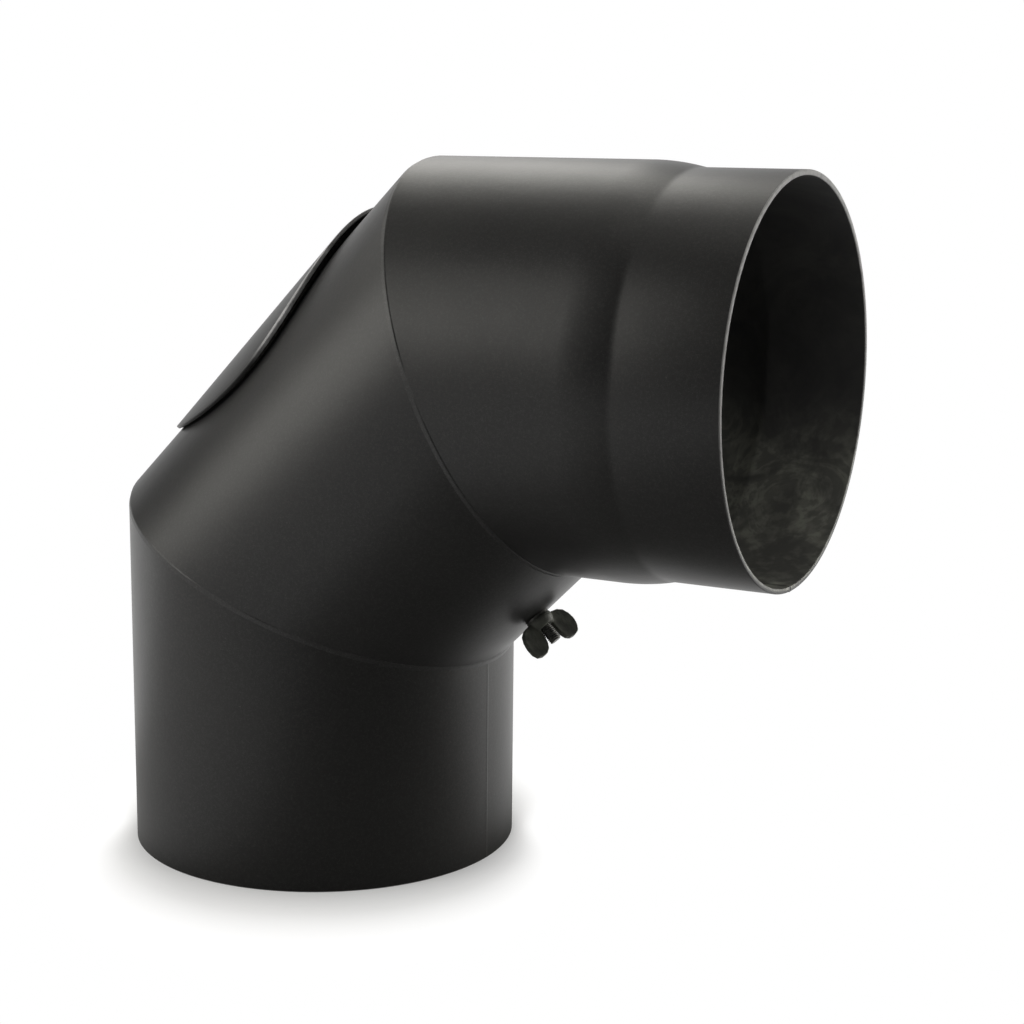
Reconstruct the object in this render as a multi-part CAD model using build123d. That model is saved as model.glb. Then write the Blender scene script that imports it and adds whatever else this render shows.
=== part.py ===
from build123d import *
import os
from math import atan2, cos, degrees, pi, radians, sin, tan

# A 90 degree stove pipe elbow: three sheet steel tubes welded at two mitres, a spigot drawn
# in at the outlet, and a cleaning door on the heel, the outside of the bend. A long rod
# crosses the pipe from the door to the throat, the inside of the bend, where a wing nut
# pulls the door shut.
# Millimetres, +Z up. The origin is the centre of the inlet's rim, which the elbow stands on,
# and the spigot points along +X. Each tube is drawn about its own axis: local z runs from
# the inlet to the outlet, and local x points to the throat.

# Tubes
bore_diameter = 150.0
sheet = 2.0
bend = 45.0
lower_length = 112.5
middle_length = 119.5
upper_length = 115.0
rim_break = 0.4

# Spigot, which enters the bore of the next pipe. Each step of its swage is a share of the
# swage's length, and the share of the draw that is done by then.
spigot_clearance = 0.4
spigot_length = 38.5
swage_length = 20.0
swage_steps = [(0.36, 0.15), (0.74, 0.70)]

# Welds. The sides of the seams are degrees from the throat, towards +Y.
mitre_weld_width = 2.2
seam_width = 1.6
seam_crown = 0.2
lower_seam_side = -2.0
middle_seam_side = 90.0
upper_seam_side = -2.0

# Cleaning door, a disc rolled nearly to the pipe's curve. Its width is measured round the
# pipe. It hangs a little below the middle of its tube, and gapes at its upper end. Its gap is
# measured at its middle, and its roll is so much flatter that it widens at both sides.
door_length = 125.8
door_width = 122.5
door_sheet = 1.5
door_gap = 1.35
door_flatness = 1.65
door_drop = 2.2
door_tilt = 0.79
outline_count = 16

# How far the door laps over the pipe round its opening, and the strip collar inside the
# opening that keeps the door in its place
door_lap = 12.0
collar_clearance = 1.5
collar_sheet = 1.5
collar_depth = 6.0
tack_count = 6
tack_length = 6.0
tack_leg = 2.0
tack_setback = 0.3

# Fibre gasket between the door and the pipe, as wide as the lap inside its inset
gasket_inset = 4.0
gasket_clearance = 0.3

# Rod across the pipe
rod_diameter = 5.0
rod_stub = 12.0
rod_chamfer = 0.5
rod_hole_diameter = 6.6
foot_weld_leg = 3.0

# Washer and wing nut on the rod's end
washer_gap = 0.2
washer_diameter = 10.0
washer_hole_diameter = 5.3
washer_thickness = 1.0
nut_gap = 0.05
thread_clearance = 0.05
nut_base_diameter = 11.0
nut_base_height = 1.4
nut_top_diameter = 9.0
nut_height = 6.5
nut_lead_in = 0.5
wing_reach = 13.0
wing_height = 13.0
wing_thickness = 2.6
wing_root_depth = 0.5
wing_edge_break = 0.7
wing_turn = -63.0

bore_radius = bore_diameter / 2
outer_radius = bore_radius + sheet
spigot_radius = bore_radius - spigot_clearance
mitre_reach = outer_radius * tan(radians(bend / 2)) + mitre_weld_width
plate_height = outer_radius + door_gap
plate_radius = plate_height + door_flatness
opening_length = door_length - 2 * door_lap
opening_width = door_width - 2 * door_lap
gasket_width = door_lap - gasket_inset
rod_radius = rod_diameter / 2

# The frames of the three tubes and of the two mitres between them
lower_frame = Location((0, 0, 0))
lower_mitre = lower_frame * Pos(0, 0, lower_length) * Rot(0, bend / 2, 0)
middle_frame = lower_frame * Pos(0, 0, lower_length) * Rot(0, bend, 0)
upper_mitre = middle_frame * Pos(0, 0, middle_length) * Rot(0, bend / 2, 0)
upper_frame = middle_frame * Pos(0, 0, middle_length) * Rot(0, bend, 0)

# The opening's frame: local z points out through the heel, and local x runs up the tube.
# The door's frame is tilted out of it about the crown of the heel. The rod's end frame
# points out of the throat.
opening_frame = middle_frame * Pos(0, 0, middle_length / 2 - door_drop) * Rot(0, -90, 0)
door_frame = opening_frame * Pos(0, 0, outer_radius) * Rot(0, -door_tilt, 0) * Pos(0, 0, -outer_radius)
throat_frame = door_frame * Pos(0, 0, -outer_radius) * Rot(0, 180, 0)


def plain_wall(start, end):
    """A plain tube's wall, as radius and height."""
    return Pos((bore_radius + outer_radius) / 2, (start + end) / 2) * Rectangle(sheet, end - start)


def swaged_skin(radius, start, end):
    """One face of a wall that is drawn in to a spigot: it curves in slowly and stops short."""
    swage_start = end - spigot_length - swage_length
    drawn = outer_radius - spigot_radius
    points = [(radius, start), (radius, swage_start)]
    for along, inwards in swage_steps:
        points.append((radius - inwards * drawn, swage_start + along * swage_length))
    points += [(radius - drawn, end - spigot_length), (radius - drawn, end)]
    return Polyline(*points)


def swaged_wall(start, end):
    """The wall between two such faces, which runs on into the spigot at one thickness."""
    outside = swaged_skin(outer_radius, start, end)
    inside = swaged_skin(bore_radius, start, end)
    return make_face(outside + inside + Line(outside @ 0, inside @ 0) + Line(outside @ 1, inside @ 1))


def rolled_tube(wall, crown_start, crown_end, seam_side, frame, free_end=None):
    """A sheet rolled up from its wall's section, and the weld that closes its butt seam. The weld
    is ground flush, but for a low crown on the outside of the tube's plain stretch."""
    seam_angle = degrees(seam_width / outer_radius)
    if free_end is not None:
        wall = chamfer(wall.vertices().group_by(Axis.Y)[free_end], rim_break)
    crown_middle = (outer_radius + seam_crown / 2, (crown_start + crown_end) / 2)
    crown = Pos(*crown_middle) * Rectangle(seam_crown, crown_end - crown_start)
    tube = Rot(0, 0, seam_side + seam_angle / 2) * revolve(Plane.XZ * wall, Axis.Z, 360 - seam_angle)
    weld = Rot(0, 0, seam_side - seam_angle / 2) * revolve(Plane.XZ * (wall + crown), Axis.Z, seam_angle)
    return frame * tube, frame * weld


def cut_below(shape, mitre):
    """What lies on the inlet's side of a mitre weld."""
    return split(shape, bisect_by=Plane(mitre * Pos(0, 0, -mitre_weld_width / 2)), keep=Keep.BOTTOM)


def cut_above(shape, mitre):
    """What lies on the outlet's side of a mitre weld."""
    return split(shape, bisect_by=Plane(mitre * Pos(0, 0, mitre_weld_width / 2)), keep=Keep.TOP)


def arc_loop(points):
    """A flat face inside a closed chain of arcs, each of them through three of the points."""
    arcs = []
    for first in range(0, len(points), 2):
        arcs.append(ThreePointArc(points[first], points[first + 1], points[(first + 2) % len(points)]))
    return make_face(arcs)


def oval(radius):
    """The section of a round tube on its mitre."""
    points = []
    for corner in range(outline_count):
        turn = 2 * pi * corner / outline_count
        points.append((radius / cos(radians(bend / 2)) * cos(turn), radius * sin(turn)))
    return arc_loop(points)


def mitre_weld(mitre):
    """A weld through the wall, ground to a flat band between the two tubes' oval ends."""
    shift = mitre_weld_width / 2 * tan(radians(bend / 2))
    band = Pos(shift, 0) * (oval(outer_radius) - oval(bore_radius))
    return mitre * extrude(band, mitre_weld_width / 2, both=True)


def disc_outline(length, width, radius):
    """An oval blank seen from above, after it is rolled to a radius: width is along the arc."""
    points = []
    for corner in range(outline_count):
        turn = 2 * pi * corner / outline_count
        points.append((length / 2 * cos(turn), radius * sin(width / 2 * sin(turn) / radius)))
    return arc_loop(points)


def along_pipe(radius):
    """A solid round bar along local x, longer than the door."""
    return Rot(0, 90, 0) * Cylinder(radius, 2 * door_length)


def under_plate():
    """The room under the door plate, drawn as a round bar."""
    return Pos(0, 0, -door_flatness) * along_pipe(plate_radius)


def rolled_disc(length, width, radius, thickness):
    """A disc rolled to an inner radius, whose rim stays square to its curved faces."""
    skin = along_pipe(radius).faces().filter_by(GeomType.CYLINDER)[0]
    patch = skin & extrude(disc_outline(length, width, radius), 2 * radius)
    return thicken(patch, thickness)


def outline_ring(length, width, radius, wall):
    """An upright wall that follows a rolled disc's outline, drawn from the pipe's axis outwards."""
    ring = disc_outline(length, width, radius) - disc_outline(length - 2 * wall, width - 2 * wall, radius)
    return extrude(ring, 2 * outer_radius)


def lower_tube():
    """The upright tube that the flue below enters."""
    end = lower_length + mitre_reach
    wall = plain_wall(0, end)
    tube, weld = rolled_tube(wall, rim_break, end, lower_seam_side, lower_frame, free_end=0)
    return cut_below(tube, lower_mitre), cut_below(weld, lower_mitre)


def middle_tube():
    """The short slanting tube, with the door's opening in its heel and the rod hole in its throat."""
    start = -mitre_reach
    end = middle_length + mitre_reach
    tube, weld = rolled_tube(plain_wall(start, end), start, end, middle_seam_side, middle_frame)
    tube = cut_below(cut_above(tube, lower_mitre), upper_mitre)
    weld = cut_below(cut_above(weld, lower_mitre), upper_mitre)
    cut_radius = bore_radius - sheet
    cut_width = opening_width * cut_radius / outer_radius
    tube -= opening_frame * rolled_disc(opening_length, cut_width, cut_radius, 3 * sheet)
    tube -= throat_frame * Cylinder(rod_hole_diameter / 2, 4 * sheet)
    return tube, weld


def upper_tube():
    """The level tube, whose mouth is drawn in to the spigot."""
    start = -mitre_reach
    plain_end = upper_length - spigot_length - swage_length
    wall = swaged_wall(start, upper_length)
    tube, weld = rolled_tube(wall, start, plain_end, upper_seam_side, upper_frame, free_end=-1)
    return cut_above(tube, upper_mitre), cut_above(weld, upper_mitre)


def door_plate():
    """The door itself, a little less curved than the pipe, so that it bears on the gasket."""
    disc = rolled_disc(door_length, door_width, plate_radius, door_sheet)
    return door_frame * Pos(0, 0, -door_flatness) * disc


def collar_size():
    """The collar's length and width, inside the opening's edge at the bore."""
    width_at_bore = opening_width * bore_radius / outer_radius
    return opening_length - 2 * collar_clearance, width_at_bore - 2 * collar_clearance


def door_collar():
    """A strip on edge, bent to the opening's outline, from the plate to just inside the bore."""
    length, width = collar_size()
    ring = outline_ring(length, width, bore_radius, collar_sheet)
    return door_frame * ((ring & under_plate()) - along_pipe(bore_radius - collar_depth))


def collar_tacks():
    """Short fillet welds in the corner between the collar's inner face and the plate."""
    length, width = collar_size()
    half_length = length / 2 - collar_sheet
    half_width = width / 2 - collar_sheet
    core = extrude(disc_outline(2 * half_length, 2 * half_width, bore_radius), 2 * outer_radius)
    inside = core & under_plate()
    tacks = []
    for tack in range(tack_count):
        turn = 2 * pi * (tack + 0.5) / tack_count
        bend_angle = (half_width - tack_setback) * sin(turn) / bore_radius
        along = (half_length - tack_setback) * cos(turn)
        across = bore_radius * sin(bend_angle)
        height = ((plate_radius - tack_setback) ** 2 - across**2) ** 0.5 - door_flatness
        heading = degrees(atan2(half_width * cos(turn) * cos(bend_angle), -half_length * sin(turn)))
        bar = Rot(45, 0, 0) * Box(tack_length, tack_leg * 2**0.5, tack_leg * 2**0.5)
        tacks += (door_frame * (inside & (Pos(along, across, height) * Rot(0, 0, heading) * bar))).solids()
    return Compound(children=tacks)


def door_gasket():
    """A flat fibre ring, squeezed thin at the door's lower end and full where the door gapes."""
    length = door_length - 2 * gasket_inset
    width = door_width - 2 * gasket_inset
    ring = outline_ring(length, width, plate_radius, gasket_width) & under_plate()
    return door_frame * ring - opening_frame * along_pipe(outer_radius + gasket_clearance)


def door_rod():
    """The rod, from the door's inner face out through the hole in the throat."""
    length = plate_height + outer_radius + rod_stub
    rod = Cylinder(rod_radius, length, align=(Align.CENTER, Align.CENTER, Align.MIN))
    rod = chamfer(rod.edges().group_by(Axis.Z)[0], rod_chamfer)
    return door_frame * ((Pos(0, 0, plate_height - length) * rod) & under_plate())


def rod_foot_weld():
    """The fillet of weld that holds the rod to the door."""
    corner = (rod_radius, plate_height)
    fillet_section = Polyline(
        (rod_radius, plate_height - foot_weld_leg),
        (rod_radius + foot_weld_leg, plate_height),
        corner,
        close=True,
    )
    ring = revolve(Plane.XZ * make_face(fillet_section), Axis.Z)
    return door_frame * (ring & under_plate())


def throat_washer():
    """A plain washer that lies on the throat and covers the rod hole."""
    ring = Circle(washer_diameter / 2) - Circle(washer_hole_diameter / 2)
    return throat_frame * Pos(0, 0, washer_gap) * extrude(ring, washer_thickness)


def nut_ear():
    """One round ear of the wing nut: it leans out from the base and widens to a round tip."""
    root = nut_top_diameter / 2 - wing_root_depth
    corners = [
        (0.60 * wing_reach, 0.20 * wing_height),
        (wing_reach, 0.44 * wing_height),
        (wing_reach, wing_height),
        (0.56 * wing_reach, wing_height),
        (0.44 * wing_reach, 0.58 * wing_height),
    ]
    rounds = [0.30 * wing_reach, 0.24 * wing_reach, 0.20 * wing_reach, 0.16 * wing_reach, 0.10 * wing_reach]
    outline = FilletPolyline((root, 0.12 * wing_height), *corners, (root, 0.90 * nut_height), radius=rounds)
    side = make_face(outline + Line(outline @ 1, outline @ 0))
    ear = extrude(Plane.XZ * side, wing_thickness / 2, both=True)
    faces = ear.faces().sort_by(Axis.Y)
    rims = faces[0].edges() + faces[-1].edges()
    outer_rims = rims.filter_by_position(Axis.X, root + wing_root_depth / 2, wing_reach)
    return chamfer(outer_rims, wing_edge_break)


def wing_nut():
    """The cast nut: a tapered hub on a round base, with two ears."""
    bore = rod_radius + thread_clearance
    base = nut_base_diameter / 2
    top = nut_top_diameter / 2
    hub = Polyline(
        (bore, 0),
        (base - nut_lead_in / 2, 0),
        (base, nut_lead_in / 2),
        (base, nut_base_height),
        (top, nut_height - nut_lead_in),
        (top - nut_lead_in, nut_height),
        (bore, nut_height),
        close=True,
    )
    nut = revolve(Plane.XZ * make_face(hub), Axis.Z)
    for side in (0, 180):
        nut += Rot(0, 0, side) * nut_ear()
    seat = washer_gap + washer_thickness + nut_gap
    return throat_frame * Pos(0, 0, seat) * Rot(0, 0, wing_turn) * nut


lower_segment, lower_seam_weld = lower_tube()
middle_segment, middle_seam_weld = middle_tube()
upper_segment, upper_seam_weld = upper_tube()

nodes = {
    "lower_segment": lower_segment,
    "middle_segment": middle_segment,
    "upper_segment": upper_segment,
    "lower_mitre_weld": mitre_weld(lower_mitre),
    "upper_mitre_weld": mitre_weld(upper_mitre),
    "lower_seam_weld": lower_seam_weld,
    "middle_seam_weld": middle_seam_weld,
    "upper_seam_weld": upper_seam_weld,
    "door_plate": door_plate(),
    "door_collar": door_collar(),
    "collar_tack_welds": collar_tacks(),
    "door_gasket": door_gasket(),
    "door_rod": door_rod(),
    "rod_foot_weld": rod_foot_weld(),
    "throat_washer": throat_washer(),
    "wing_nut": wing_nut(),
}

os.makedirs("parts", exist_ok=True)
for name, shape in nodes.items():
    export_step(shape, f"parts/{name}.step")
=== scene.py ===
from math import cos, pi, radians, sin, tan

import bmesh
import bpy
from mathutils import Matrix, Vector


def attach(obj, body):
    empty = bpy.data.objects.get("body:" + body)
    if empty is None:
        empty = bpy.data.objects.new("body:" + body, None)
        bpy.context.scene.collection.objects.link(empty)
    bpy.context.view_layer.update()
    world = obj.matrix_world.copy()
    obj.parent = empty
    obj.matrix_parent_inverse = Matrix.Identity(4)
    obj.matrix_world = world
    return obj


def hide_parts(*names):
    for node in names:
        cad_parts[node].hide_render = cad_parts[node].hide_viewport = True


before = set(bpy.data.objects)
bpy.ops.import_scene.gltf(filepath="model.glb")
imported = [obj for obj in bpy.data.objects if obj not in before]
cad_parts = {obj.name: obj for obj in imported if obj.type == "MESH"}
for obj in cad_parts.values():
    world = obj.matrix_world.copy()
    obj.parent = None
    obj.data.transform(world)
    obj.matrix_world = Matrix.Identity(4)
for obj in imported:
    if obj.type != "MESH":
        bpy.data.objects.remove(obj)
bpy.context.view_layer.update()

# Upright and slanting tubes
# Two tubes of 2 mm steel sheet, rolled up and cut to mitres. They are sprayed outside with
# heat-resistant matt black paint, which dries to a fine grain. Inside they stay bare, with dark
# scale that turns lighter grey and smeared towards the bottom, and so does the cut edge of the inlet.
bore_radius = 0.075
sheet = 0.002
outer_radius = bore_radius + sheet
wall_middle = bore_radius + sheet / 2
paint_blur = 0.0003
bare_to = 0.0002
painted_from = 0.0005
half_bend = radians(22.5)
lower_length = 0.1125
middle_length = 0.1195
slant = Vector((sin(2 * half_bend), 0, cos(2 * half_bend)))
lower_joint = Vector((0, 0, lower_length))
upper_joint = lower_joint + middle_length * slant


class Wire:
    """A node's output in a material or a geometry tree. Sums and products add Math nodes."""

    def __init__(self, tree, socket=None):
        self.tree = tree
        self.socket = socket

    def node(self, kind, inputs, settings=None, output=0):
        """A new node in the same tree: its settings first, then its inputs' values or wires."""
        made = self.tree.nodes.new(kind)
        for name, value in (settings or {}).items():
            setattr(made, name, value)
        for name, value in inputs.items():
            if isinstance(value, Wire):
                self.tree.links.new(value.socket, made.inputs[name])
            else:
                made.inputs[name].default_value = value
        return Wire(self.tree, made.outputs[output])

    def math(self, operation, *terms):
        return self.node("ShaderNodeMath", dict(enumerate(terms)), {"operation": operation})

    def __add__(self, other):
        return self.math("ADD", self, other)

    def __radd__(self, other):
        return self.math("ADD", other, self)

    def __sub__(self, other):
        return self.math("SUBTRACT", self, other)

    def __rsub__(self, other):
        return self.math("SUBTRACT", other, self)

    def __mul__(self, other):
        return self.math("MULTIPLY", self, other)

    def __rmul__(self, other):
        return self.math("MULTIPLY", other, self)

    def __truediv__(self, other):
        return self.math("DIVIDE", self, other)

    def __lt__(self, other):
        return self.math("LESS_THAN", self, other)

    def __gt__(self, other):
        return self.math("GREATER_THAN", self, other)

    def vector(self, operation, *terms, output="Vector"):
        settings = {"operation": operation}
        return self.node("ShaderNodeVectorMath", dict(enumerate(terms)), settings, output)

    def ramp(self, low, high):
        """0 below low, 1 above high, and smooth between."""
        steps = {"Value": self, "From Min": low, "From Max": high, "To Min": 0.0, "To Max": 1.0}
        return self.node("ShaderNodeMapRange", steps, {"interpolation_type": "SMOOTHSTEP"})

    def noise(self, scale, detail=2.0, roughness=0.5, distortion=0.0):
        sizes = {"Scale": scale, "Detail": detail, "Roughness": roughness, "Distortion": distortion}
        return self.node("ShaderNodeTexNoise", {"Vector": self, **sizes})

    def mixed(self, first, second):
        """A colour that goes from the first to the second as this wire goes from 0 to 1."""
        return self.node("ShaderNodeMix", {0: self, 6: first, 7: second}, {"data_type": "RGBA"}, output=2)


def new_finish(name, **constants):
    """A material with a bare Principled shader, and the object's coordinates to pattern it by."""
    material = bpy.data.materials.new(name)
    material.use_nodes = True
    shader = material.node_tree.nodes["Principled BSDF"]
    for socket, value in constants.items():
        shader.inputs[socket.replace("_", " ")].default_value = value
    place = Wire(material.node_tree).node("ShaderNodeTexCoord", {}, output="Object")
    return material, place, shader


def feed(target, **wires):
    for socket, wire in wires.items():
        wire.tree.links.new(wire.socket, target.inputs[socket.replace("_", " ")])


def bump(height, depth, before=None):
    """A surface raised by height times depth, in metres, over any bump that comes before it."""
    sockets = {"Height": height, "Distance": depth, "Strength": 1.0}
    if before is not None:
        sockets["Normal"] = before
    return height.node("ShaderNodeBump", sockets)


def axis_distance(place, foot, along):
    """How far a place lies from the line through foot along a direction."""
    offset = place.vector("SUBTRACT", place, tuple(foot))
    cross = offset.vector("CROSS_PRODUCT", offset, tuple(along))
    return cross.vector("LENGTH", cross, output="Value")


def reach_along(place, axis):
    return place.node("ShaderNodeSeparateXYZ", {"Vector": place}, output=axis)


def inside_tube(place, foot, along):
    """1 inside the middle of a tube's wall and 0 outside it. The line through foot is its axis."""
    return 1 - axis_distance(place, foot, along).ramp(wall_middle - paint_blur, wall_middle + paint_blur)


def grey(level, blue=1.02):
    return (level, level, level * blue, 1)


def black_paint(name, inside=None, bare=None, smeared=(0.0, 0.1), lighter=1.0, steel=(0.32, 0.48)):
    """Matt black paint on steel sheet. inside picks out the unpainted bore from the place, which turns
    lighter and smeared below the two heights of smeared. bare picks out an edge in steel tones: bare
    steel, and painted highlight where the edge is lit."""
    material, place, shader = new_finish(name, IOR=1.5)
    thin_coat, thick_coat = grey(0.0150 * lighter, 1.06), grey(0.0185 * lighter)
    grain_top = (0.040 * lighter, 0.0395 * lighter, 0.040 * lighter, 1)
    dust_tone, smear_tone = (0.14, 0.13, 0.12, 1), (0.34, 0.35, 0.31, 1)
    dark_scale, grey_scale = (0.056, 0.056, 0.060, 1), (0.150, 0.151, 0.142, 1)
    grain_height, peel_height, cloud_height = 0.000012, 0.000022, 0.0004
    cloud = place.noise(22.0, 3.0)
    peel = place.noise(520.0, 1.0)
    grain = place.noise(2600.0, 2.0, 0.6)
    dust = place.noise(1100.0, 0.0).ramp(0.82, 0.85) * place.noise(60.0, 1.0).ramp(0.5, 0.7)
    color = cloud.ramp(0.3, 0.7).mixed(thin_coat, thick_coat)
    fleck = grain.ramp(0.35, 0.75) * (0.2 + 1.1 * place.noise(900.0, 2.0, 0.6).ramp(0.35, 0.65))
    color = (fleck * 0.8).mixed(color, grain_top)
    color = (dust * 0.25).mixed(color, dust_tone)
    rough = 0.35 + 0.05 * cloud + 0.06 * grain
    normal = bump(grain, grain_height, bump(peel, peel_height, bump(cloud, cloud_height)))
    if inside is not None:
        hollow = inside(place)
        # The bore turns lighter grey and smeared below the heights of smeared.
        low = 1 - reach_along(place, "Z").ramp(*smeared)
        smear = place.noise(30.0, 4.0, 0.6, 1.2)
        swirl = place.noise(34.0, 4.0, 0.55, 3.2) - 0.5
        curl = 1 - (swirl.math("ABSOLUTE", swirl) * 11).ramp(0.0, 1.0)
        mottle = place.noise(170.0, 3.0, 0.6).ramp(0.46, 0.66)
        stain = low * (smear.ramp(0.40, 0.62) * (0.2 + 0.6 * curl) + 0.3 * mottle)
        scale = (0.35 * smear.ramp(0.3, 0.7) + 0.65 * low).mixed(dark_scale, grey_scale)
        color = hollow.mixed(color, stain.mixed(scale, smear_tone))
        rough = rough + hollow * (0.08 - 0.14 * stain)
    if bare is not None:
        # Steel tones on the picked-out edge: bare steel at the inlet, painted highlight at the mouth's top
        # and the door's rim.
        cut = bare(place)
        dull, bright = steel
        tone = place.noise(300.0, 3.0).ramp(0.2, 0.6)
        color = cut.mixed(color, tone.mixed(grey(dull), grey(bright)))
        rough = rough + cut * 0.35
    feed(shader, Base_Color=color, Roughness=rough, Normal=normal)
    return material


def finish_node(node, material):
    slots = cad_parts[node].data.materials
    slots.clear()
    slots.append(material)


finish_node("lower_segment", black_paint(
    "upright_tube_paint",
    inside=lambda place: inside_tube(place, (0, 0, 0), (0, 0, 1)),
    bare=lambda place: 1 - reach_along(place, "Z").ramp(bare_to, painted_from),
))
finish_node("middle_segment", black_paint(
    "slanting_tube_paint",
    inside=lambda place: inside_tube(place, lower_joint, slant),
))

# Level tube with its spigot
# The third tube is rolled like the others. Its mouth is then drawn in by a ring die, so that it
# enters the next pipe: the wall bends in slowly and stops short. The cut edge shows bare steel,
# more of it towards its top as a painted highlight.
upper_length = 0.115
spigot_radius = 0.0746
spigot_length = 0.0385
swage_length = 0.020
swage_bend = 0.88
spigot_draw = outer_radius - spigot_radius
rim_round = 0.0004
rim_highlight_start = 0.12
rim_highlight_full = 0.26
smear_heights = (0.145, 0.188)
mitre_weld_width = 0.0022
seam_width = 0.0016
upper_seam_side = radians(-2.0)
mouth = upper_joint + Vector((upper_length, 0, 0))
mitre_slope = tan(half_bend)
mitre_setback = mitre_weld_width / 2 / cos(half_bend)
lower_frame = Matrix.Identity(4)
middle_frame = Matrix.Translation(lower_joint) @ Matrix.Rotation(2 * half_bend, 4, "Y")
upper_frame = Matrix.Translation(upper_joint) @ Matrix.Rotation(4 * half_bend, 4, "Y")


def inside_spigot(place):
    """Inside the level tube's wall, whose middle line is drawn in by the swage."""
    swage_end = mouth.x - spigot_length
    drawn = spigot_draw * reach_along(place, "X").ramp(swage_end - swage_length, swage_end)
    from_middle = axis_distance(place, upper_joint, (1, 0, 0)) - wall_middle + drawn
    return 1 - from_middle.ramp(-paint_blur, paint_blur)


# Bare steel on the mouth's cut edge, fading in with height as a painted highlight.
def bare_mouth_edge_and_highlight(place):
    cut = reach_along(place, "X").ramp(mouth.x - painted_from, mouth.x - bare_to)
    return cut * reach_along(place, "Z").ramp(rim_highlight_start, rim_highlight_full)


spigot_paint = black_paint(
    "spigot_tube_paint", inside=inside_spigot, smeared=smear_heights, bare=bare_mouth_edge_and_highlight)


def new_shape(name, sizes, counts):
    """An empty geometry tree with named inputs, and a wire from each of them."""
    tree = bpy.data.node_groups.new(name, "GeometryNodeTree")
    for label in sizes:
        tree.interface.new_socket(label, in_out="INPUT", socket_type="NodeSocketFloat")
    for label in counts:
        tree.interface.new_socket(label, in_out="INPUT", socket_type="NodeSocketInt")
    tree.interface.new_socket("Finish", in_out="INPUT", socket_type="NodeSocketMaterial")
    tree.interface.new_socket("Mesh", in_out="OUTPUT", socket_type="NodeSocketGeometry")
    start = tree.nodes.new("NodeGroupInput")
    return [Wire(tree, start.outputs[label]) for label in (*sizes, *counts, "Finish")]


def point_grid(size, columns, rows):
    """A grid of points, and wires for their column and row, both counted from 0."""
    counts = {"Vertices X": columns, "Vertices Y": rows}
    grid = size.node("GeometryNodeMeshGrid", {"Size X": 1.0, "Size Y": 1.0, **counts})
    spot = size.node("GeometryNodeInputPosition", {})
    column = (spot.node("ShaderNodeSeparateXYZ", {"Vector": spot}, output="X") + 0.5) * (columns - 1)
    row = (spot.node("ShaderNodeSeparateXYZ", {"Vector": spot}, output="Y") + 0.5) * (rows - 1)
    return grid, column, row


def share(value, start, end):
    """How far a value has come from start to end, from 0 to 1."""
    steps = {"Value": value, "From Min": start, "From Max": end, "To Min": 0.0, "To Max": 1.0}
    return value.node("ShaderNodeMapRange", steps)


def there_and_back(row, last):
    """The row counted up to last and down again, and 1 on the way down. A row past the first
    again is row 0 once more, which closes the wall."""
    down = (row > last + 0.5) * (row < 2 * last + 1.5)
    return (row < last + 0.5) * row + down * (2 * last + 1 - row), down


def shaped(grid, x, y, z, finish, sharp=40.0, joined_within=0.000002):
    """Puts the grid's points in place, joins its borders, and leaves only sharp edges unsmoothed."""
    spot = grid.node("ShaderNodeCombineXYZ", {"X": x, "Y": y, "Z": z})
    moved = grid.node("GeometryNodeSetPosition", {"Geometry": grid, "Position": spot})
    merged = moved.node("GeometryNodeMergeByDistance", {"Geometry": moved, "Distance": joined_within})
    smooth = merged.node("GeometryNodeSetShadeSmooth", {"Geometry": merged, "Shade Smooth": True})
    corner = smooth.node("GeometryNodeInputMeshEdgeAngle", {}) > radians(sharp)
    creased = smooth.node(
        "GeometryNodeSetShadeSmooth", {"Geometry": smooth, "Selection": corner, "Shade Smooth": False},
        {"domain": "EDGE"})
    real = creased.node("GeometryNodeRealizeInstances", {"Geometry": creased})
    done = real.node("GeometryNodeSetMaterial", {"Geometry": real, "Material": finish})
    end = grid.tree.nodes.new("NodeGroupOutput")
    feed(end, Mesh=done)
    return grid.tree


def made_by(shape, name, turn, **sizes):
    """A piece made by a geometry tree at the given sizes: a plain mesh, turned into its place,
    with its faces outwards."""
    piece = bpy.data.objects.new(name, bpy.data.meshes.new("seed"))
    bpy.context.scene.collection.objects.link(piece)
    modifier = piece.modifiers.new("shape", "NODES")
    modifier.node_group = shape
    for item in shape.interface.items_tree:
        if item.in_out == "INPUT":
            modifier[item.identifier] = sizes[item.name.replace(" ", "_").lower()]
    graph = bpy.context.evaluated_depsgraph_get()
    mesh = bpy.data.meshes.new_from_object(piece.evaluated_get(graph), depsgraph=graph)
    piece.modifiers.remove(modifier)
    mesh.transform(turn)
    work = bmesh.new()
    work.from_mesh(mesh)
    bmesh.ops.recalc_face_normals(work, faces=work.faces)
    work.to_mesh(mesh)
    work.free()
    mesh.name = name
    piece.data = mesh
    return piece


def stand_for(piece, body, slot, *nodes):
    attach(piece, body)
    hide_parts(*nodes)


def drawn_in(height, end, spigot, swage, bend, draw):
    """How far the wall is drawn in at a height: slowly at first, and stopping short."""
    along = share(height, end - spigot - swage, end - spigot)
    early = along < bend
    slow = early * along * along / bend
    short = (1 - early) * (1 - (1 - along) * (1 - along) / (1 - bend))
    return draw * (slow + short)


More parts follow.
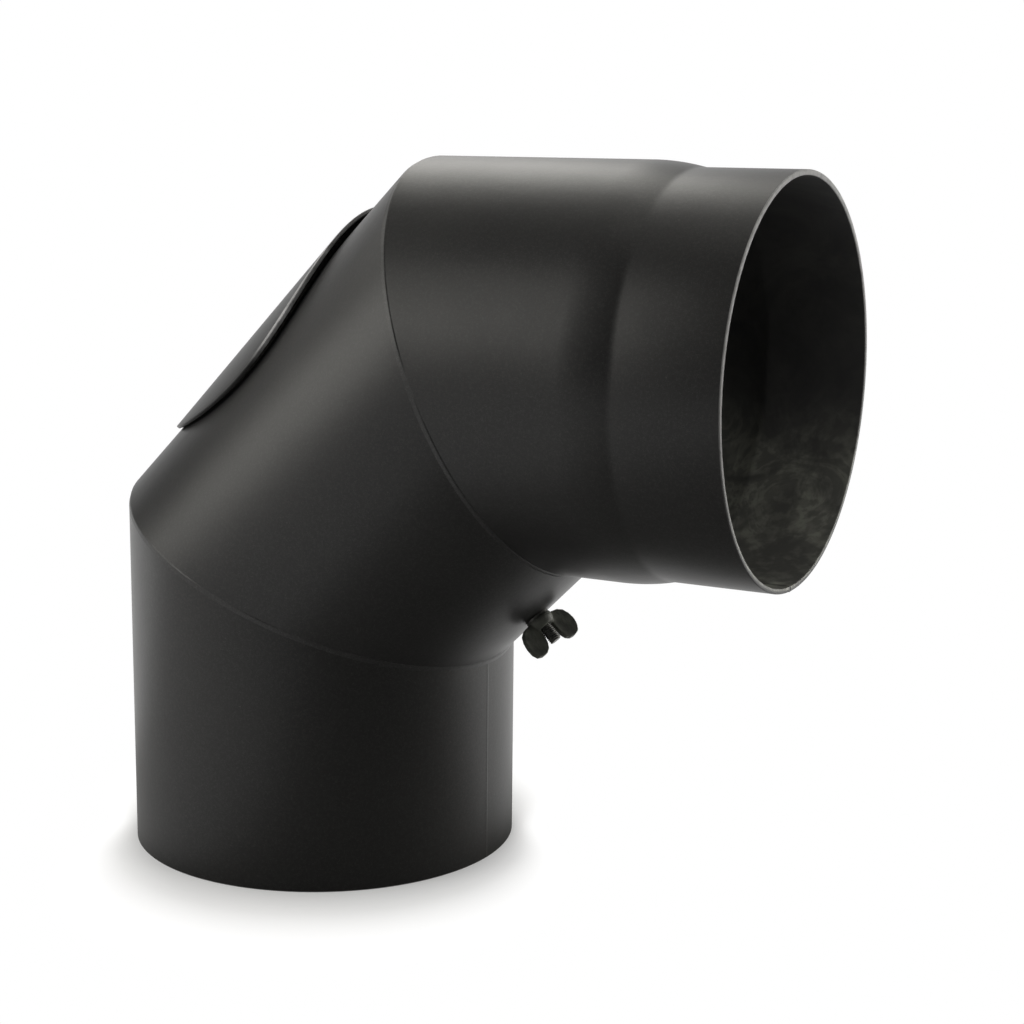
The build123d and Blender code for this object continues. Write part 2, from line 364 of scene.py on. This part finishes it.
def tube_shape():
    """The wall goes up the tube's outside and down its inside. Its first and last columns lie
    in the middle of the wall, and close the two edges that meet at the seam."""
    (radius, wall, slope, setback, end, spigot, swage, bend, draw, rim, side, slot,
     columns, swage_rows, finish) = new_shape(
        "drawn_tube",
        ("Outer Radius", "Sheet", "Mitre Slope", "Mitre Setback", "Length", "Spigot Length",
         "Swage Length", "Swage Bend", "Draw", "Rim Round", "Seam Side", "Seam Angle"),
        ("Columns", "Swage Rows"))
    margin, rim_steps = 0.002, 3
    at_rim = swage_rows + 2
    last = at_rim + rim_steps
    grid, column, row = point_grid(radius, columns + 2, 2 * last + 3)
    climb, down = there_and_back(row, last)
    turned = side + slot / 2 + share(column, 1, columns) * (2 * pi - slot)
    shut = (column < 0.5) + (column > columns + 0.5)
    rounding = share(climb, at_rim, last) * (pi / 2)
    rounded = rim * (1 - rounding.math("COSINE", rounding))
    own = radius - shut * (wall / 2) - (1 - shut) * (rounded + down * (wall - 2 * rounded))
    foot = setback + slope * own * turned.math("COSINE", turned)
    z = foot + share(climb, 0, 1) * (end - spigot - swage - margin - foot)
    z = z + share(climb, 1, swage_rows + 1) * (swage + 2 * margin)
    z = z + share(climb, swage_rows + 1, at_rim) * (spigot - rim - margin)
    z = z + rim * rounding.math("SINE", rounding)
    r = own - drawn_in(z, end, spigot, swage, bend, draw)
    return shaped(grid, r * turned.math("COSINE", turned), r * turned.math("SINE", turned), z, finish)


spigot_tube = made_by(
    tube_shape(), "spigot_tube", upper_frame, outer_radius=outer_radius, sheet=sheet,
    mitre_slope=mitre_slope, mitre_setback=mitre_setback, length=upper_length,
    spigot_length=spigot_length, swage_length=swage_length, swage_bend=swage_bend, draw=spigot_draw,
    rim_round=rim_round, seam_side=upper_seam_side, seam_angle=seam_width / outer_radius,
    columns=288, swage_rows=40, finish=spigot_paint)
stand_for(spigot_tube, "elbow", "stove_paint", "upper_segment")

# Mitre welds
# The tubes' oval ends are joined by arc welds, run right round and ground back before painting
# to a low slope with a shoulder. They die out at both sides and are ground lowest at the heel.
lower_crown = 0.00011
upper_crown = 0.00021
mitre_shoulder = 0.78
mitre_unevenness = 0.00012
fine_ripple = 0.7
heel_grinding = 0.6
# The welds' paint is 1.6 times lighter than the tubes': a painted highlight for the light line along each
# weld.
weld_paint = black_paint("weld_paint", lighter=1.6)


def mitre_bead_shape():
    """A ring between two ovals. It goes across its outside and back across its inside."""
    radius, wall, bend, width, crown, shoulder, uneven, columns, steps, finish = new_shape(
        "mitre_bead",
        ("Outer Radius", "Sheet", "Half Bend", "Width", "Crown", "Shoulder", "Unevenness"),
        ("Columns", "Steps"))
    grid, column, row = point_grid(radius, columns + 1, 2 * steps + 3)
    across, down = there_and_back(row, steps)
    rise = share(across, 0, steps)
    w = rise * 2 - 1
    turned = share(column, 0, columns) * (2 * pi)
    c, s = turned.math("COSINE", turned), turned.math("SINE", turned)
    dome = rise.ramp(0.0, shoulder) * (1 - rise.ramp(shoulder, 1.0))
    spot = c.node("ShaderNodeCombineXYZ", {"X": radius * c, "Y": radius * s, "Z": 0.0})
    mean = 0.5 * (1 + fine_ripple)
    ripple = spot.noise(110.0, 1.0) + fine_ripple * spot.noise(420.0, 1.0) - mean
    at_heel = (0 - c).ramp(0.92, 0.995)
    fade = share(c.math("ABSOLUTE", c), 0.03, 0.2) * (1 - heel_grinding * at_heel)
    lift = (1 - down) * fade * dome * (crown + uneven * ripple)
    shift = width / 2 * bend.math("TANGENT", bend)
    own = radius - down * wall
    x = shift + (own / bend.math("COSINE", bend) + lift) * c
    y = (own + lift) * s
    return shaped(grid, x, y, w * (width / 2), finish, 60.0)


mitre_bead = mitre_bead_shape()
for node, joint, turns, crown in (
    ("lower_mitre_weld", lower_joint, 1, lower_crown),
    ("upper_mitre_weld", upper_joint, 3, upper_crown),
):
    across_joint = Matrix.Translation(joint) @ Matrix.Rotation(turns * half_bend, 4, "Y")
    bead = made_by(
        mitre_bead, node.replace("weld", "bead"), across_joint, outer_radius=outer_radius, sheet=sheet,
        half_bend=half_bend, width=mitre_weld_width, crown=crown, shoulder=mitre_shoulder,
        unevenness=mitre_unevenness, columns=560, steps=14, finish=weld_paint)
    stand_for(bead, "elbow", "painted_weld", node)

# Seam welds
# Each rolled tube is closed by a butt weld along one side, ground almost away, so that only a
# faint line shows through the paint, made lighter by a painted highlight.
seam_crown = 0.00008
lower_seam_side = radians(-2.0)
middle_seam_side = radians(90.0)
lower_seam_foot = 0.0004
upper_seam_inset = 0.0001


def seam_bead_shape():
    """A strip as thick as the wall. Its first and last rows lie in the middle of the wall."""
    (radius, wall, width, crown, side, foot, foot_slope, head, head_slope, spigot, swage, bend, draw,
     steps, rows, finish) = new_shape(
        "seam_bead",
        ("Outer Radius", "Sheet", "Width", "Crown", "Seam Side", "Foot", "Foot Slope", "Head",
         "Head Slope", "Spigot Length", "Swage Length", "Swage Bend", "Draw"),
        ("Steps", "Rows"))
    ripple_width = 0.001
    grid, column, row = point_grid(radius, 2 * steps + 3, rows + 2)
    across, down = there_and_back(column, steps)
    w = share(across, 0, steps) * 2 - 1
    turned = side + w * (width / radius / 2)
    shut = (row < 0.5) + (row > rows + 0.5)
    dome = (1 - w * w) * (1 - w * w)
    x0 = radius * turned.math("COSINE", turned)
    low = foot + foot_slope * x0
    z = low + share(row, 1, rows) * (head + head_slope * x0 - low)
    spot = z.node("ShaderNodeCombineXYZ", {"X": 0.0, "Y": w * ripple_width, "Z": z})
    lift = crown * dome * (0.5 + spot.noise(160.0, 2.0))
    r = radius + (1 - shut) * ((1 - down) * lift - down * wall) - shut * (wall / 2)
    r = r - drawn_in(z, head, spigot, swage, bend, draw)
    return shaped(grid, r * turned.math("COSINE", turned), r * turned.math("SINE", turned), z, finish, 60.0)


seam_bead = seam_bead_shape()
for node, place, side, foot, foot_slope, head, head_slope, draw in (
    ("lower_seam_weld", lower_frame, lower_seam_side, lower_seam_foot, 0.0,
     lower_length - mitre_setback, -mitre_slope, 0.0),
    ("middle_seam_weld", middle_frame, middle_seam_side, mitre_setback, mitre_slope,
     middle_length - mitre_setback, -mitre_slope, 0.0),
    ("upper_seam_weld", upper_frame, upper_seam_side, mitre_setback, mitre_slope,
     upper_length - upper_seam_inset, 0.0, spigot_draw),
):
    bead = made_by(
        seam_bead, node.replace("weld", "bead"), place, outer_radius=outer_radius, sheet=sheet,
        width=seam_width, crown=seam_crown, seam_side=side, foot=foot, foot_slope=foot_slope, head=head,
        head_slope=head_slope, spigot_length=spigot_length, swage_length=swage_length,
        swage_bend=swage_bend, draw=draw, steps=8, rows=150, finish=weld_paint)
    stand_for(bead, "elbow", "painted_weld", node)

# Cleaning door
# A nearly round disc of thinner sheet, rolled a little flatter than the pipe and painted on both
# sides. It bears on the gasket. Its blanked edge is deburred, and on its upper half it is painted
# in patchy light steel tones as a painted highlight. A strip collar is tacked inside it.
door_length = 0.1258
door_width = 0.1225
door_sheet = 0.0015
door_flatness = 0.00165
door_gap = 0.00135
plate_radius = outer_radius + door_gap + door_flatness
door_drop = 0.0022
door_tilt = radians(0.79)
edge_round = 0.00035
highlight_steel = (0.45, 0.70)
door_frame = (
    middle_frame @ Matrix.Translation((0, 0, middle_length / 2 - door_drop))
    @ Matrix.Rotation(-pi / 2, 4, "Y") @ Matrix.Translation((0, 0, outer_radius))
    @ Matrix.Rotation(-door_tilt, 4, "Y") @ Matrix.Translation((0, 0, -outer_radius)))
door_up = door_frame.to_3x3() @ Vector((1, 0, 0))
throat_frame = door_frame @ Matrix.Translation((0, 0, -outer_radius)) @ Matrix.Rotation(pi, 4, "Y")


def rolled_disc_shape():
    """The disc goes from its outer face's middle out to the rim, and back to its inner face's
    middle. It is rolled about a line that lies below its middle."""
    length, width, radius, thick, edge, rings, columns, finish = new_shape(
        "rolled_disc", ("Length", "Width", "Inner Radius", "Thickness", "Edge Round"),
        ("Rings", "Columns"))
    edge_steps = 5
    last = rings + edge_steps
    grid, column, row = point_grid(length, columns + 1, 2 * last + 2)
    out, down = there_and_back(row, last)
    turned = share(column, 0, columns) * (2 * pi)
    corner = share(out, rings, last) * (pi / 2)
    ring = share(out, 0, rings)
    tip = edge * corner.math("SINE", corner)
    x = ((length / 2 - edge) * ring + tip) * turned.math("COSINE", turned)
    arc = ((width / 2 - edge) * ring + tip) * turned.math("SINE", turned) / radius
    sunk = edge * (1 - corner.math("COSINE", corner))
    r = radius + thick - sunk - down * (thick - 2 * sunk)
    return shaped(grid, x, r * arc.math("SINE", arc), r * arc.math("COSINE", arc), finish)


def door_rim_highlight(place):
    """The upper half of the door's rim, painted in patchy light steel tones as a painted highlight.
    u and v go from the door's middle to its rim, upwards and across."""
    offset = place.vector("SUBTRACT", place, tuple(door_frame.translation))
    u = offset.vector("DOT_PRODUCT", offset, tuple(door_up), output="Value") / (door_length / 2)
    v = reach_along(place, "Y") / (plate_radius * sin(door_width / 2 / plate_radius))
    rim = (u * u + v * v).ramp(0.984, 0.994)
    patches = 0.55 + 0.45 * place.noise(60.0, 3.0).ramp(0.40, 0.60)
    # The steel tones here are a painted highlight on the rim's upper half, in patches.
    return rim * u.ramp(0.05, 0.40) * patches


door_paint = black_paint("door_paint", bare=door_rim_highlight, steel=highlight_steel)
door_disc = made_by(
    rolled_disc_shape(), "door_disc", door_frame @ Matrix.Translation((0, 0, -door_flatness)),
    length=door_length, width=door_width, inner_radius=plate_radius, thickness=door_sheet,
    edge_round=edge_round, rings=26, columns=200, finish=door_paint)
stand_for(door_disc, "cleaning_door", "stove_paint", "door_plate")
finish_node("door_collar", black_paint("collar_paint"))
finish_node("collar_tack_welds", weld_paint)

# Gasket
# A ring of plain-woven glass fibre tape, dark with graphite, glued inside the door's edge. It
# fills most of the gap between the door and the heel.
strand = 0.0016
graphite, bare_glass = (0.012, 0.012, 0.012, 1), (0.075, 0.073, 0.066, 1)
tape, place, shader = new_finish("glass_fibre_tape", Roughness=0.9)
lengthwise = place.vector("DOT_PRODUCT", place, tuple(door_up), output="Value") * (pi / strand)
crosswise = reach_along(place, "Y") * (pi / strand)
weave = lengthwise.math("SINE", lengthwise) * crosswise.math("SINE", crosswise)
fibre = place.noise(1400.0, 2.0)
feed(
    shader,
    Base_Color=(0.5 + 0.3 * weave + 0.4 * (fibre - 0.5)).mixed(graphite, bare_glass),
    Normal=bump(fibre, 0.0001, bump(weave, 0.0002)),
)
finish_node("door_gasket", tape)

# Door rod
# M5 bar, blackened by the furnace oil that it was quenched in. The thread is rolled on the
# throat's end only, and the bar's other end is welded to the middle of the door.
rod_radius = 0.0025
rod_stub = 0.012
rod_foot = -(2 * outer_radius + door_gap)
rod_chamfer = 0.0004
thread_pitch = 0.0008
thread_depth = 0.00042
thread_length = 0.030
oil_black, oil_grey = (0.090, 0.090, 0.087, 1), (0.210, 0.208, 0.195, 1)
black_steel, place, shader = new_finish("oil_blackened_steel", Metallic=0.35)
tone = place.noise(700.0, 3.0)
feed(
    shader,
    Base_Color=tone.ramp(0.3, 0.7).mixed(oil_black, oil_grey),
    Roughness=0.34 + 0.16 * tone,
    Normal=bump(tone, 0.00003),
)


def threaded_bar_shape():
    """A bar whose radius dips along a helix near its end. Both ends are chamfered and shut."""
    foot, length, radius, chamfer, thread, pitch, depth, columns, thread_rows, finish = new_shape(
        "threaded_bar",
        ("Foot", "Length", "Radius", "Chamfer", "Thread Length", "Pitch", "Thread Depth"),
        ("Columns", "Thread Rows"))
    crest_width, crest_round, run_in_rows = 0.12, 0.1, 12
    thread_end = thread_rows + 3
    last = thread_end + 2
    grid, column, row = point_grid(foot, columns + 1, last + 1)
    turned = share(column, 0, columns) * (2 * pi)
    tip = share(row, thread_end, thread_end + 1)
    z = foot + chamfer * share(row, 1, 2) + (length - thread - chamfer) * share(row, 2, 3)
    z = z + (thread - chamfer) * share(row, 3, thread_end) + chamfer * tip
    phase = z / pitch + turned / (2 * pi)
    turn = phase.math("FRACT", phase)
    flank = (turn * 2 - 1).math("ABSOLUTE", turn * 2 - 1)
    groove = flank.math("SMOOTH_MAX", flank, crest_width, crest_round) - crest_width
    cut = share(row, 3, 3 + run_in_rows) * groove
    end = share(row, 1, 2) * (1 - tip)
    solid = share(row, 0, 1) * (1 - share(row, thread_end + 1, last))
    r = (radius - depth * cut * end - chamfer * (1 - end)) * solid
    return shaped(grid, r * turned.math("COSINE", turned), r * turned.math("SINE", turned), z, finish)


rod = made_by(
    threaded_bar_shape(), "threaded_rod", throat_frame, foot=rod_foot, length=rod_stub - rod_foot,
    radius=rod_radius, chamfer=rod_chamfer, thread_length=thread_length, pitch=thread_pitch,
    thread_depth=thread_depth, columns=40, thread_rows=380, finish=black_steel)
stand_for(rod, "cleaning_door", "threaded_steel", "door_rod")
finish_node("rod_foot_weld", weld_paint)

# Washer
# A plain washer, loose on the rod, that covers the hole in the throat. It is punched from
# strip and blackened in the same oil as the rod.
finish_node("throat_washer", black_steel)

# Wing nut
# Cast malleable iron, fettled and dipped: a low hub with two long round ears that lean to one
# side. The casting's skin is slightly pitted, and the dip has worn to a grey-green bloom.
hub_foot = 0.00125
hub_height = 0.0040
hub_skirt = 0.0014
hub_base = 0.0053
hub_top = 0.0043
hub_sides = 64
nut_bore = 0.00256
ear_thickness = 0.0024
ear_outline_mm = [
    (2.9, 0.4), (6.0, 0.3), (8.8, 0.8), (10.8, 2.2), (12.0, 4.6), (12.5, 7.4), (12.1, 10.3),
    (10.8, 12.3), (8.7, 12.95), (6.6, 12.8), (4.9, 11.7), (3.9, 9.8), (3.4, 7.4), (3.2, 5.2), (2.9, 3.9)]
ear_middle_mm = 6.5
ear_lean = 0.0009
ear_turn = radians(-63.0)
skin_grain = 0.00022
skin_smoothing = 7
iron_green, iron_grey = (0.100, 0.105, 0.094, 1), (0.180, 0.188, 0.162, 1)
cast_iron, place, shader = new_finish("dipped_cast_iron", IOR=1.5)
pits = place.noise(900.0, 3.0, 0.6)
bloom = place.noise(260.0, 2.0)
feed(
    shader,
    Base_Color=bloom.ramp(0.30, 0.70).mixed(iron_green, iron_grey),
    Roughness=0.42 + 0.16 * pits,
    Normal=bump(pits, 0.00010, bump(bloom, 0.0002)),
)
work = bmesh.new()
hub = [(nut_bore, 0), (hub_base, 0), (hub_base, hub_skirt), (hub_top, hub_height), (nut_bore, hub_height)]
rings = []
for step in range(hub_sides):
    angle = 2 * pi * step / hub_sides
    rings.append([work.verts.new((r * cos(angle), r * sin(angle), z)) for r, z in hub])
for step in range(hub_sides):
    here, there = rings[step], rings[(step + 1) % hub_sides]
    for k in range(len(hub)):
        n = (k + 1) % len(hub)
        work.faces.new((here[k], there[k], there[n], here[n]))
for side in (1, -1):
    faces = []
    for y in (-ear_thickness / 2, ear_thickness / 2):
        ring = []
        for x, z in ear_outline_mm:
            lean = ear_lean * max(0.0, z - ear_middle_mm) / ear_middle_mm
            ring.append(work.verts.new((side * x / 1000, side * y + lean, z / 1000)))
        faces.append(ring)
        work.faces.new(ring)
    for k in range(len(ear_outline_mm)):
        n = (k + 1) % len(ear_outline_mm)
        work.faces.new((faces[0][k], faces[0][n], faces[1][n], faces[1][k]))
bmesh.ops.triangulate(work, faces=work.faces)
bmesh.ops.recalc_face_normals(work, faces=work.faces)
nut = bpy.data.objects.new("cast_wing_nut", bpy.data.meshes.new("cast_wing_nut"))
work.to_mesh(nut.data)
work.free()
nut.data.transform(throat_frame @ Matrix.Translation((0, 0, hub_foot)) @ Matrix.Rotation(ear_turn, 4, "Z"))
bpy.context.scene.collection.objects.link(nut)
skin = nut.modifiers.new("skin", "REMESH")
skin.mode = "VOXEL"
skin.voxel_size = skin_grain
skin.use_smooth_shade = True
worn = nut.modifiers.new("worn", "SMOOTH")
worn.factor = 0.5
worn.iterations = skin_smoothing
graph = bpy.context.evaluated_depsgraph_get()
nut_mesh = bpy.data.meshes.new_from_object(nut.evaluated_get(graph), depsgraph=graph)
nut.modifiers.clear()
nut.data = nut_mesh
nut_mesh.materials.clear()
nut_mesh.materials.append(cast_iron)
stand_for(nut, "nut", "cast_nut", "wing_nut")

# Floor and surroundings
# A white sweep that keeps the elbow's soft shadow close round its foot, and goes over to plain
# white away from it. Round the foot the shadow is partly real and partly a painted shadow, where
# the sweep's glow is dimmed. In what the elbow mirrors, the sweep glows behind, and less at both
# sides, as painted light.
floor_reach = 4
corners = [(-floor_reach, -floor_reach, 0), (floor_reach, -floor_reach, 0),
           (floor_reach, floor_reach, 0), (-floor_reach, floor_reach, 0)]
view_yaw = radians(27.717)
behind = Vector((-sin(view_yaw), cos(view_yaw), 0))
beside = Vector((cos(view_yaw), sin(view_yaw), 0))
shadow_depth_squared = 29.0
shadow_reach = 0.012
shadow_glow = 0.34
shadow_end = (0.004, 0.014)
rear_light, left_light, right_light = 0.9, 0.32, 0.7
floor_mesh = bpy.data.meshes.new("floor")
floor_mesh.from_pydata(corners, [], [(0, 1, 2, 3)])
floor = bpy.data.objects.new("floor", floor_mesh)
bpy.context.scene.collection.objects.link(floor)
sweep = bpy.data.materials.new("white_sweep")
sweep.use_nodes = True
tree = sweep.node_tree
tree.nodes.remove(tree.nodes["Principled BSDF"])
camera_ray = Wire(tree).node("ShaderNodeLightPath", {}, output="Is Camera Ray")
place = Wire(tree).node("ShaderNodeTexCoord", {}, output="Object")
deep = place.vector("DOT_PRODUCT", place, tuple(behind), output="Value")
wide = place.vector("DOT_PRODUCT", place, tuple(beside), output="Value")
from_axis = axis_distance(place, (0, 0, 0), (0, 0, 1))
oval = wide * wide + shadow_depth_squared * (deep * deep)
# How far a place lies from the foot, counted shorter in depth; the painted shadow fades with it.
painted_shadow_distance = (from_axis - outer_radius) * from_axis / oval.math("SQRT", oval)
rear = deep.ramp(0.05, 0.15)
left = (1 - wide.ramp(-0.10, -0.04)) * (1 - rear)
right = wide.ramp(0.07, 0.12) * deep.ramp(-0.06, 0.03) * (1 - rear)


def white_glow(strength):
    return place.node("ShaderNodeEmission", {"Color": (1, 1, 1, 1), "Strength": strength})


lit = place.node("ShaderNodeBsdfDiffuse", {"Color": (0.5, 0.5, 0.5, 1)})
dim = place.node("ShaderNodeBsdfDiffuse", {"Color": (0.35, 0.35, 0.35, 1)})
# The glow is dimmer near the foot: a painted shadow, on top of the real shadow in the lit diffuse.
glow = white_glow(shadow_glow + (1 - shadow_glow) * share(painted_shadow_distance, 0.0, shadow_reach))
near = place.node("ShaderNodeAddShader", {0: lit, 1: glow})
seen = place.node("ShaderNodeMixShader", {0: share(painted_shadow_distance, *shadow_end), 1: near, 2: white_glow(1.0)})
# The sweep glows behind and at both sides in what the elbow mirrors: painted light.
side_light = white_glow(rear_light * rear + left_light * left + right_light * right)
mirrored = place.node("ShaderNodeAddShader", {0: dim, 1: side_light})
shown = place.node("ShaderNodeMixShader", {0: camera_ray, 1: mirrored, 2: seen})
feed(tree.nodes["Material Output"], Surface=shown)
floor_mesh.materials.append(sweep)

world = bpy.data.worlds.new("room")
bpy.context.scene.world = world
world.use_nodes = True
tree = world.node_tree
camera_ray = Wire(tree).node("ShaderNodeLightPath", {}, output="Is Camera Ray")
way = Wire(tree).node("ShaderNodeTexCoord", {}, output="Generated")
backdrop = way.vector("DOT_PRODUCT", way, tuple(behind), output="Value").ramp(0.6, 0.95)
room = tree.nodes["Background"]
room.inputs["Color"].default_value = (1, 1, 1, 1)
feed(room, Strength=camera_ray + (1 - camera_ray) * rear_light * backdrop)

lamp_distance = 1.6
lamp_aim = Vector((0.06, 0, 0.13))
lamp_tint = (1.0, 0.98, 0.92)


def softbox(name, azimuth, elevation, width, height, power):
    """A flat lamp that faces the elbow. Azimuth 0 is in front of it, on the -Y side."""
    lamp = bpy.data.lights.new(name, "AREA")
    lamp.shape = "RECTANGLE"
    lamp.size = width
    lamp.size_y = height
    lamp.energy = power
    lamp.color = lamp_tint
    a, e = radians(azimuth), radians(elevation)
    back = Vector((sin(a) * cos(e), -cos(a) * cos(e), sin(e)))
    facing = back.to_track_quat("Z", "Y").to_matrix().to_4x4()
    light = bpy.data.objects.new(name, lamp)
    light.matrix_world = Matrix.Translation(lamp_aim + lamp_distance * back) @ facing
    bpy.context.scene.collection.objects.link(light)


softbox("front_left_softbox", -53, 16, 1.30, 0.60, 7.9)
softbox("front_softbox", -34, 36, 0.50, 0.90, 3.3)
softbox("left_softbox", -90, 38, 0.50, 0.80, 2.6)
softbox("back_left_softbox", -138, 40, 0.80, 0.70, 5.2)
softbox("right_softbox", 137, 5, 1.25, 0.60, 9.5)
softbox("back_softbox", -165, 60, 0.60, 0.60, 3.0)
softbox("mouth_softbox", 88, 35, 0.60, 0.60, 5.0)
softbox("top_softbox", 0, 89, 0.80, 0.80, 1.3)

# Camera
# A long lens 0.8 m away and a little above the elbow, turned from the elbow's side towards its
# mouth, so that the bore shows.
sensor_width = 36.0
focal_pixels = 2036.70
picture_pixels = 1024
camera_place = Vector((0.441783, -0.678059, 0.285433))
yaw, pitch, roll = view_yaw, radians(10.749), radians(-0.578)
camera_data = bpy.data.cameras.new("camera")
camera_data.sensor_width = sensor_width
camera_data.lens = focal_pixels / picture_pixels * sensor_width
camera_data.clip_start = 0.01
camera = bpy.data.objects.new("camera", camera_data)
ahead = Vector((-sin(yaw) * cos(pitch), cos(yaw) * cos(pitch), -sin(pitch)))
right = ahead.cross(Vector((0, 0, 1))).normalized()
down = ahead.cross(right)
across = cos(roll) * right + sin(roll) * down
below = -sin(roll) * right + cos(roll) * down
turn = Matrix((across, -below, -ahead)).transposed()
camera.matrix_world = Matrix.Translation(camera_place) @ turn.to_4x4()
bpy.context.scene.collection.objects.link(camera)
bpy.context.scene.camera = camera
bpy.context.scene.view_settings.view_transform = "Standard"
